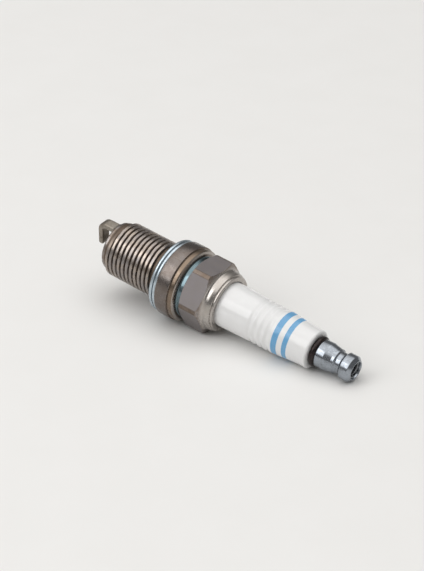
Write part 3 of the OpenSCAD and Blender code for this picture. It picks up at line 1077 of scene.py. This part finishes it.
@dataclass
class Shell:
    """The metal shell: thread, relief, collar, groove, hexagon, crimp and stepped bore."""

    shop: Workshop
    sizes: ShellSizes = field(default_factory=ShellSizes)
    sectors: int = 300

    def _hex_radius(self, angles: Array) -> Array:
        """Distance of the hexagon's side from the axis: flat / cos(angle from its middle).

        The corners are cut off by a round of corner_r, and one flat faces straight up.
        """
        sixth = TAU / 6.0
        off = (angles + sixth / 2.0) % sixth - sixth / 2.0
        return np.minimum(self.sizes.flat / np.cos(off), self.sizes.corner_r)

    def _hexagon(self, turned: Turned) -> None:
        """Adds the hexagon's rows: a cone, the flats, and a steeper cone.

        A cone meets the side where station = face + (side - face radius) * tan(slope), so
        the rows follow that meeting line and it stays crisp.
        """
        s = self.sizes
        side = self._hex_radius(turned.angles)
        low = s.groove_end + (side - s.low_face_r) * math.tan(math.radians(s.low_slope))
        high = s.hex_end - (side - s.high_face_r) * math.tan(math.radians(s.high_slope))
        for share in (0.0, 0.5, 1.0):
            radius = s.low_face_r + (side - s.low_face_r) * share
            turned.row(radius, s.groove_end + (low - s.groove_end) * share)
        for share in (0.02, 0.25, 0.5, 0.75, 0.98):
            turned.row(side, low + (high - low) * share)
        for share in (1.0, 0.75, 0.5, 0.25, 0.0):
            radius = s.high_face_r + (side - s.high_face_r) * share
            turned.row(radius, s.hex_end + (high - s.hex_end) * share)

    def _outside_low(self, turned: Turned) -> None:
        """Adds the end face, the lead band, the thread, the relief and the collar."""
        s = self.sizes
        turned.path(rounded([(s.mouth_r, s.end + 0.6), (s.mouth_r, s.end, 0.15), (s.lead_r, s.end, 0.35),
                             (s.lead_r, s.lead_end - 0.02)]))
        helix = Helix(s.lead_end, s.thread_high, s.pitch, s.root_r, s.thread_depth)
        turned.height_field(helix.rows(14), helix.radius)
        turned.path(rounded([
            (s.relief_r, s.thread_high + 0.08), (s.relief_r, 0.0, 0.2), (s.collar_r, 0.0, 0.2),
            (s.collar_r, s.collar_end, 0.25), (s.step_r - 0.12, s.collar_end + 0.02, 0.1),
            (s.step_r, s.collar_end + 0.25, 0.1), (s.step_r, s.step_end - 0.25, 0.5),
            (s.step_r - 0.75, s.step_end + 0.02, 0.12), (s.groove_r, s.step_end + 0.06, 0.3),
            (s.groove_r, s.groove_end, 0.12), (s.low_face_r, s.groove_end)
        ], 4)[:-1])

    def _crimp(self, turned: Turned) -> None:
        """Adds the round shoulder, the fine groove and the lip rolled over the packing."""
        s = self.sizes
        turned.path(rounded([
            (s.high_face_r, s.hex_end + 0.02), (s.shoulder_r, s.hex_end + 0.3, 0.3),
            (s.shoulder_r, s.hex_end + 1.1, 1.1), (s.shoulder_r - 0.3, s.shoulder_end, 0.3),
            (s.crimp_groove_r - 0.1, s.shoulder_end + 0.06, 0.06),
            (s.crimp_groove_r - 0.1, s.crimp_groove_end - 0.06, 0.06),
            (s.lip_r, s.crimp_groove_end, 0.06),
            (s.lip_r, s.lip_end, 0.47), (s.lip_bore_r, s.lip_end, 0.12), (s.lip_bore_r, s.shoulder_end)
        ], 6))

    def _bore(self, turned: Turned) -> None:
        """Adds the bore from the crimp down to the mouth."""
        s = self.sizes
        rise = (s.mid_bore_r - s.ledge_r) * math.tan(math.radians(30.0))
        turned.path([
            (s.hex_bore_r, s.shoulder_end), (s.hex_bore_r, s.hex_bore_r - s.mid_bore_r),
            (s.mid_bore_r, 0.0), (s.mid_bore_r, s.ledge + rise), (s.ledge_r, s.ledge),
            (s.ledge_r, s.ledge - s.ledge_h), (s.mouth_r, s.ledge - s.ledge_h - (s.mouth_r - s.ledge_r))
        ])

    def build(self) -> None:
        """Builds and dresses the shell."""
        turned = Turned(self.shop.axis, self.sectors)
        self._outside_low(turned)
        self._hexagon(turned)
        self._crimp(turned)
        self._bore(turned)
        piece = turned.finish("shell_body")
        self.shop.hand_over(piece, ShellNickel(self.sizes), Body.PLUG, Slot.SHELL, "metal_shell")


@dataclass
class Gasket:
    """The captive folded gasket: two lips with a fold line between them."""

    shop: Workshop
    sizes: GasketSizes = field(default_factory=GasketSizes)

    def build(self) -> None:
        """Builds the ring from one closed outline of rounded lips."""
        s = self.sizes
        middle = (s.low + s.high) / 2.0
        inner = s.inner_r + 0.35
        outline = rounded([
            (inner, middle), (s.inner_r, middle - 0.25, 0.1), (s.inner_r, s.low, 0.4),
            (s.outer_r, s.low, 0.42), (s.outer_r, middle - 0.12, 0.38),
            (s.outer_r - s.fold, middle, 0.08), (s.outer_r, middle + 0.12, 0.38),
            (s.outer_r, s.high, 0.42), (s.inner_r, s.high, 0.4),
            (s.inner_r, middle + 0.25, 0.1), (inner, middle)
        ], 6)[:-1]
        turned = Turned(self.shop.axis, 192)
        turned.path(outline)
        # (0.06, 0.10, 0.13) is the pits' colour and the painted shade along the fold.
        finish = Plate("gasket_zinc_finish", (0.55, 0.63, 0.69), (0.33, 0.37, 0.40), 0.2, 0.35,
                       (0.06, 0.10, 0.13), (middle - 0.14, middle + 0.14))
        self.shop.hand_over(turned.finish("folded_gasket"), finish, Body.GASKET, Slot.GASKET, "gasket")


@dataclass
class Insulator:
    """The glazed ceramic with its nose, thick part, shallow ribs and rounded end."""

    shop: Workshop
    sizes: CeramicSizes = field(default_factory=CeramicSizes)

    def _rear_radius(self, angle: Array, station: Array) -> Array:
        """Outside of the ceramic from the crimp to its rounded end.

        Straight tapers run from the crimp to the ribs and from the ribs to the end, with
        smooth joints. Over the ribs a wave of (1 - cos) is taken off, deepest between
        two ribs.
        """
        s = self.sizes
        knots = [s.rear_end, s.rib_start, s.rib_end, s.end_start, s.end]
        values = [s.rear_r, s.rib_r, s.rib_r, s.end_r, s.end_r]
        spread = np.linspace(-0.8, 0.8, 9)
        base = np.mean([np.interp(station + d, knots, values) for d in spread], axis=0)
        share = (station - s.rib_start) / (s.rib_end - s.rib_start)
        inside = (share > 0.0) & (share < 1.0)
        wave = (1.0 - np.cos(share * s.rib_count * TAU)) / 2.0
        return base - np.where(inside, s.rib_depth * wave, 0.0) + 0.0 * angle

    def build(self) -> None:
        """Builds and dresses the insulator."""
        s = self.sizes
        turned = Turned(self.shop.axis, 160)
        taper = s.seat + (s.mid_r - s.seat_r) * math.tan(math.radians(30.0))
        turned.path(rounded([
            (s.shank_r, s.nose + 0.5), (s.shank_r, s.nose, 0.1), (s.nose_tip_r, s.nose, 0.35),
            (s.nose_root_r, s.seat - 1.0, 1.0), (s.seat_r, s.seat, 0.1),
            (s.mid_r, taper, 0.2), (s.mid_r, 0.0, 0.5),
            (s.shoulder_r, s.shoulder_r - s.mid_r, 0.5), (s.shoulder_r, s.shoulder_top, 0.3),
            (s.rear_r, s.shoulder_top, 0.2), (s.rear_r, s.rear_end - 0.4)
        ]))
        turned.height_field(np.linspace(s.rear_end, s.end - s.end_round, 150), self._rear_radius)
        turned.path(rounded([
            (s.end_r, s.end - s.end_round + 0.02), (s.end_r, s.end, s.end_round), (s.bore_r, s.end, 0.2),
            (s.bore_r, s.head, 0.0), (s.shank_r, s.head - (s.bore_r - s.shank_r), 0.0),
            (s.shank_r, s.nose + 1.0)
        ], 12)[1:])
        piece = turned.finish("glazed_insulator")
        self.shop.hand_over(piece, GlazedCeramic(s), Body.PLUG, Slot.CERAMIC, "insulator")


@dataclass
class Terminal:
    """The terminal stud with its dark flange, and the nut that screws onto it."""

    shop: Workshop
    stud: StudSizes = field(default_factory=StudSizes)
    nut: NutSizes = field(default_factory=NutSizes)

    def _thread(self, low: float, high: float, fade: float) -> Helix:
        """The M4 helix over a stretch, in step with the whole thread of the stud."""
        s = self.stud
        first = s.thread_start + math.floor((low - s.thread_start) / s.pitch) * s.pitch
        return Helix(first, high, s.pitch, s.root_r, s.thread_depth, 0.25, fade)

    def _build_stud(self) -> None:
        """Builds the stud from its grooved end to the tip of its thread."""
        s = self.stud
        turned = Turned(self.shop.axis, 96)
        groove = s.knurl_h / 4.0
        turned.path(rounded([
            (0.3, s.low), (s.shaft_r, s.low, 0.15), (s.shaft_r, s.low + groove, 0.05),
            (s.shaft_r - 0.25, s.low + 1.5 * groove, 0.05),
            (s.shaft_r - 0.25, s.low + 2.5 * groove, 0.05),
            (s.shaft_r, s.low + 3.0 * groove, 0.05), (s.shaft_r, s.flange, 0.05),
            (s.flange_r, s.flange, 0.72), (s.flange_r, s.flange + s.flange_h, 0.72),
            (s.root_r, s.flange + s.flange_h, 0.05), (s.root_r, s.thread_start - 0.03)
        ], 8))
        helix = self._thread(s.thread_start, s.end - 0.3, 0.4)
        turned.height_field(helix.rows(10), helix.radius)
        turned.path([(s.root_r, s.end - 0.25), (s.root_r - 0.3, s.end), (0.3, s.end)])
        piece = turned.finish("stud_with_flange", (True, True))
        self.shop.hand_over(piece, HeatDarkSteel(s), Body.PLUG, Slot.STUD, "terminal_stud")

    def _build_nut(self) -> None:
        """Builds the nut: its outside, then its threaded bore back to the base."""
        n, s = self.nut, self.stud
        turned = Turned(self.shop.axis, 160)
        turned.path(rounded([
            (n.mouth_r, n.low, 0.0), (n.base_r, n.low, 0.12), (n.base_r, n.base_end, 0.5),
            (n.brow_r, n.brow, 0.06),
            (n.brow_r, n.brow_end, 0.1), (n.neck_r, n.neck, 0.25), (n.neck_r, n.neck_end, 0.35),
            (n.cap_r, n.cap, 0.1), (n.cap_r, n.end - n.chamfer, 0.12),
            (n.cap_r - n.chamfer, n.end, 0.08),
            (n.mouth_r + 0.05, n.end, 0.06), (n.mouth_r - 0.1, n.end - 0.35)
        ], 5))
        low, high = n.low + 0.1, n.end - 0.4
        step = self._thread(low, high, 0.0)
        count = int((high - low) / s.pitch * 12)

        def bore(angle: Array, station: Array) -> Array:
            """The stud's own helix plus the running clearance."""
            return s.root_r + s.thread_depth * step.height(angle, station) + n.clearance

        turned.height_field(np.linspace(high, low, count), bore)
        piece = turned.finish("screwed_nut")
        # The nut's bore is darkened with painted shade inside mouth_r.
        self.shop.hand_over(piece, Plate(bore_r=n.mouth_r), Body.NUT, Slot.NUT, "terminal_nut")

    def build(self) -> None:
        """Builds and dresses the stud and the nut."""
        self._build_stud()
        self._build_nut()


@dataclass
class Electrodes:
    """The centre electrode's nickel sheath and the welded ground strap."""

    shop: Workshop
    sizes: ElectrodeSizes = field(default_factory=ElectrodeSizes)

    def _build_centre(self) -> None:
        """Builds the sheath from its tip round its head and down into its core hole."""
        s = self.sizes
        turned = Turned(self.shop.axis, 96)
        top = s.head + s.head_h
        turned.path(rounded([
            (0.2, s.tip), (s.shank_r, s.tip, 0.08), (s.shank_r, s.head - (s.head_r - s.shank_r), 0.1),
            (s.head_r, s.head, 0.1), (s.head_r, top, 0.1), (s.core_r, top, 0.0),
            (s.core_r, s.tip + s.core_floor, 0.0), (0.2, s.tip + s.core_floor)
        ]))
        piece = turned.finish("centre_electrode_sheath", (True, True))
        self.shop.hand_over(piece, ElectrodeNickel(s), Body.PLUG, Slot.ELECTRODE, "center_electrode")

    def _strap_path(self, end_face: float) -> tuple[Array, Array]:
        """Middle line of the strap as (distance from the axis, station), and its directions.

        It runs straight out of the shell's end face, round a quarter circle, and then
        straight past the axis.
        """
        s = self.sizes
        mid_x = s.strap_outer_x - s.strap_t / 2.0
        mid_z = s.strap_inside - s.strap_t / 2.0
        bend = s.strap_bend_r + s.strap_t / 2.0
        centre = np.array([mid_x - bend, mid_z + bend])
        down = np.linspace(end_face + 0.06, centre[1], 14)[:-1]
        turn = np.linspace(0.0, math.pi / 2.0, 22)
        easing = np.sin(np.linspace(0.0, math.pi / 2.0, 34)[1:])
        across = centre[0] + (-s.strap_past - centre[0]) * easing
        points = np.concatenate([
            np.stack([np.full_like(down, mid_x), down], -1),
            centre + bend * np.stack([np.cos(turn), -np.sin(turn)], -1),
            np.stack([across, np.full_like(across, mid_z)], -1),
        ])
        heading = np.concatenate([
            np.tile([0.0, -1.0], (len(down), 1)),
            np.stack([-np.sin(turn), -np.cos(turn)], -1),
            np.tile([-1.0, 0.0], (len(across), 1)),
        ])
        return points, heading

    def _build_strap(self, end_face: float) -> None:
        """Sweeps a rounded bar section along the strap's path.

        The section is a superellipse |x|^n + |y|^n = 1 of the strap's width and
        thickness. It shrinks over the last stretch like the side of a circle, so that
        the tip is rounded, and flares at the weld.

        Args:
            end_face: Station of the shell's end face.
        """
        s = self.sizes
        points, heading = self._strap_path(end_face)
        steps = np.linalg.norm(np.diff(points, axis=0), axis=1)
        run = np.concatenate([[0.0], np.cumsum(steps)])
        tip_r, bead = 0.55, 0.35
        left = np.clip((run[-1] - run) / tip_r, 0.0, 1.0)
        shrink = np.sqrt(1.0 - (1.0 - left) ** 2) * tip_r
        flare = 0.13 * smooth_step(1.0 - run / bead)
        half_w = s.strap_w / 2.0 - (tip_r - shrink) * 0.7 + flare
        half_t = s.strap_t / 2.0 - (tip_r - shrink) + flare * 0.6
        around = np.arange(56) / 56 * TAU
        power = 2.0 / 6.0
        wide = np.sign(np.cos(around)) * np.abs(np.cos(around)) ** power
        thick = np.sign(np.sin(around)) * np.abs(np.sin(around)) ** power
        normal = np.stack([-heading[:, 1], heading[:, 0]], -1)
        flat = points[:, None, :] + normal[:, None, :] * (half_t[:, None] * thick)[..., None]
        width = half_w[:, None] * wide
        turn = math.radians(s.strap_angle)
        x = flat[..., 0] * math.cos(turn) - width * math.sin(turn)
        y = flat[..., 0] * math.sin(turn) + width * math.cos(turn)
        placed = self.shop.axis.place(np.hypot(x, y), np.arctan2(y, x), flat[..., 1])
        rows, columns = placed.shape[:2]
        grid = placed.reshape(-1, 3)
        ends = np.stack([placed[0].mean(0), placed[-1].mean(0)])
        ring = np.arange(columns)
        faces = [
            grid_faces(rows, columns, False, True),
            fan_faces(len(grid), ring)[:, ::-1],
            fan_faces(len(grid) + 1, ring + (rows - 1) * columns),
        ]
        piece = shade(new_object("ground_strap", np.concatenate([grid, ends]), faces), 40.0)
        self.shop.hand_over(piece, ElectrodeNickel(s), Body.PLUG, Slot.ELECTRODE, "ground_electrode")

    def build(self, end_face: float) -> None:
        """Builds and dresses both electrodes; end_face is the shell's end face."""
        self._build_centre()
        self._build_strap(end_face)


@dataclass
class InnerStack:
    """The pieces sealed inside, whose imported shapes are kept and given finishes."""

    shop: Workshop

    def build(self) -> None:
        """Gives each inner node its finish."""
        for node, finish in INNER_FINISHES.items():
            piece = frame["nodes"][node]
            material = finish.material(self.shop.groups)
            if not piece.material_slots:
                piece.data.materials.append(material)
            for slot in piece.material_slots:
                slot.material = material
            LOG.info("%s: kept shape, finish %s", node, finish.name)


# ---------------------------------------------------------------- studio


@dataclass(frozen=True)
class Studio:
    """Pale floor, one window-like lamp, a soft room and the camera.

    Attributes:
        axis: The plug axis, which the camera is aimed by.
        focus: Point that the lamp faces, in metres.
        window_direction: Direction of the lamp from the focus.
        camera_azimuth: Camera angle round the plug, in degrees.
        camera_elevation: Camera angle above the floor, in degrees.
    """

    axis: PlugAxis
    focus: tuple[float, float, float] = (0.0, 0.0, 0.008)
    window_direction: tuple[float, float, float] = (-0.3805, -0.690, 0.615)
    window_size: float = 0.62
    window_watts: float = 3.0
    lamp_distance: float = 1.0
    camera_azimuth: float = 37.422
    camera_elevation: float = 29.712
    camera_distance: float = 387.967
    camera_lens: float = 105.552
    aim_station: float = 15.75
    aim_offset: tuple[float, float] = (4.6189, -4.6752)
    floor_half: float = 3.0

    def _lamp(self, name: str, direction: Sequence[float], size: float, watts: float) -> None:
        """Adds a square lamp that faces the focus."""
        data = bpy.data.lights.new(name, "AREA")
        data.size = size
        data.energy = watts
        lamp = bpy.data.objects.new(name, data)
        bpy.context.scene.collection.objects.link(lamp)
        unit = np.array(direction) / np.linalg.norm(direction)
        lamp.location = tuple(np.array(self.focus) + unit * self.lamp_distance)
        lamp.rotation_euler = Vector(tuple(-unit)).to_track_quat("-Z", "Y").to_euler()

    def _room(self) -> None:
        """A soft room: a light ceiling over darker walls, by the sine of the elevation."""
        world = bpy.data.worlds.new("room")
        world.use_nodes = True
        world.node_tree.nodes.clear()
        graph = Graph(world.node_tree)
        coordinates = graph.node("ShaderNodeTexCoord")
        split = graph.node("ShaderNodeSeparateXYZ")
        graph.put(split.inputs[0], coordinates.outputs["Generated"])
        background = graph.node("ShaderNodeBackground")
        strength = graph.ramp(split.outputs[2], 0.6, 0.92, (0.24, 1.75))
        graph.put(background.inputs["Strength"], strength)
        background.inputs["Color"].default_value = (1.0, 0.99, 0.975, 1.0)
        output = graph.node("ShaderNodeOutputWorld")
        graph.put(output.inputs["Surface"], background.outputs[0])
        bpy.context.scene.world = world

    def _floor(self) -> None:
        """A wide pale floor with the faint mottle of paper."""
        h = self.floor_half
        corners = np.array([[-h, -h, 0.0], [h, -h, 0.0], [h, h, 0.0], [-h, h, 0.0]])
        mesh = bpy.data.meshes.new("floor")
        mesh.from_pydata(corners.tolist(), [], [(0, 1, 2, 3)])
        floor = bpy.data.objects.new("floor", mesh)
        bpy.context.scene.collection.objects.link(floor)
        material = bpy.data.materials.new("paper_floor")
        material.use_nodes = True
        graph = Graph(material.node_tree)
        shader = material.node_tree.nodes["Principled BSDF"]
        coordinates = graph.node("ShaderNodeTexCoord")
        mottle = graph.noise(coordinates.outputs["Object"], 60.0, 4.0)
        paper = graph.mix(mottle, (0.80, 0.795, 0.78), (0.83, 0.825, 0.815))
        graph.put(shader.inputs["Base Color"], paper)
        shader.inputs["Roughness"].default_value = 0.85
        shader.inputs["Specular IOR Level"].default_value = 0.2
        mesh.materials.append(material)

    def _camera(self) -> None:
        """The camera, aimed so that the plug lies as it does from the chosen side.

        Its axes are right = (cos a, sin a, 0), back towards the camera, and up square to
        both; it stands the camera distance back from a point beside the aim point.
        """
        a, e = math.radians(self.camera_azimuth), math.radians(self.camera_elevation)
        right = np.array([math.cos(a), math.sin(a), 0.0])
        up = np.array([-math.sin(a) * math.sin(e), math.cos(a) * math.sin(e), math.cos(e)])
        back = np.cross(right, up)
        aim = self.axis.seat + self.axis.along * self.aim_station * MM
        beside = right * self.aim_offset[0] + up * self.aim_offset[1]
        spot = aim + (back * self.camera_distance - beside) * MM
        data = bpy.data.cameras.new("camera")
        data.lens = self.camera_lens
        data.clip_start, data.clip_end = 0.01, 20.0
        camera = bpy.data.objects.new("camera", data)
        bpy.context.scene.collection.objects.link(camera)
        camera.location = tuple(spot)
        camera.rotation_euler = Vector(tuple(-back)).to_track_quat("-Z", "Y").to_euler()
        bpy.context.scene.camera = camera

    def build(self) -> None:
        """Sets up the camera, the floor, the lamp and the room."""
        self._camera()
        self._floor()
        self._lamp("window", self.window_direction, self.window_size, self.window_watts)
        self._room()
        bpy.context.scene.view_settings.view_transform = "Standard"


def main() -> None:
    """Builds every sub-assembly in order and reports each piece."""
    logging.basicConfig(level=logging.INFO, format="%(name)s: %(message)s")
    axis = PlugAxis.from_record(frame["record"], GasketSizes().low)
    Studio(axis).build()
    shop = Workshop(axis, Groups(axis))
    shell = Shell(shop)
    shell.build()
    Gasket(shop).build()
    Electrodes(shop).build(shell.sizes.end)
    Insulator(shop).build()
    Terminal(shop).build()
    InnerStack(shop).build()


if __name__ == "__main__":
    main()
